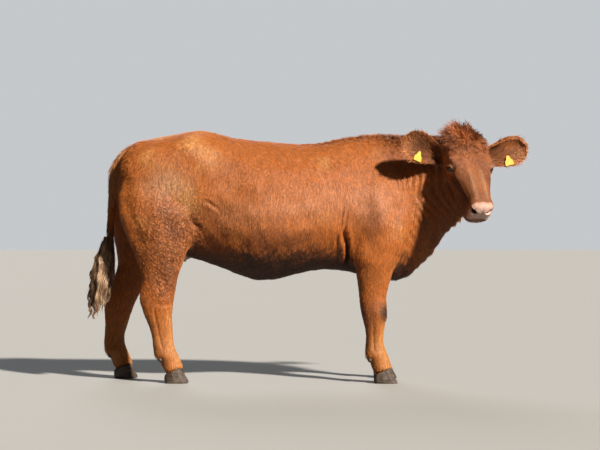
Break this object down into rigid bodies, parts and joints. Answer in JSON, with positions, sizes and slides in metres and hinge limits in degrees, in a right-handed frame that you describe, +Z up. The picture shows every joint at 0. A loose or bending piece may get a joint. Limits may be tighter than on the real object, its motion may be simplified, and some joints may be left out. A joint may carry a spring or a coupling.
{
  "type": "cow",
  "caption": "Polled red beef cow standing square, head turned to its right, with a plain tag in each ear; still life-size display model.",
  "frame": {"origin": "on the floor, under the middle of the bounding box", "axes": "+X towards the front of the animal, +Y to its left, +Z up"},
  "size_m": [2.3072, 0.7914, 1.3605],
  "materials": {
    "coat": "short glossy chestnut hair, darker where it curls, longer on the poll, ears, crest and belly line",
    "switch_hair": "long wavy pale hair in locks",
    "udder_skin": "bare soft pink skin",
    "horn": "dark horn, slightly ridged, worn dull",
    "eye": "wet, very dark brown",
    "ear_tag": "plain yellow soft plastic, no marks"
  },
  "bodies": {
    "root": {"trunk": "coat", "neck": "coat", "head": "coat", "left_eye": "eye", "right_eye": "eye", "right_foreleg": "coat", "right_foreleg_hoof_inner": "horn", "right_foreleg_dewclaw_inner": "horn", "right_foreleg_hoof_outer": "horn", "right_foreleg_dewclaw_outer": "horn", "left_foreleg": "coat", "left_foreleg_hoof_inner": "horn", "left_foreleg_dewclaw_inner": "horn", "left_foreleg_hoof_outer": "horn", "left_foreleg_dewclaw_outer": "horn", "right_hindleg": "coat", "right_hindleg_hoof_inner": "horn", "right_hindleg_dewclaw_inner": "horn", "right_hindleg_hoof_outer": "horn", "right_hindleg_dewclaw_outer": "horn", "left_hindleg": "coat", "left_hindleg_hoof_inner": "horn", "left_hindleg_dewclaw_inner": "horn", "left_hindleg_hoof_outer": "horn", "left_hindleg_dewclaw_outer": "horn", "left_ear": "coat", "left_tag_flag": "ear_tag", "left_tag_button": "ear_tag", "right_ear": "coat", "right_tag_flag": "ear_tag", "right_tag_button": "ear_tag", "poll_tuft": "coat", "tail": "coat", "tail_switch": "switch_hair", "udder": "udder_skin"}
  },
  "joints": []
}
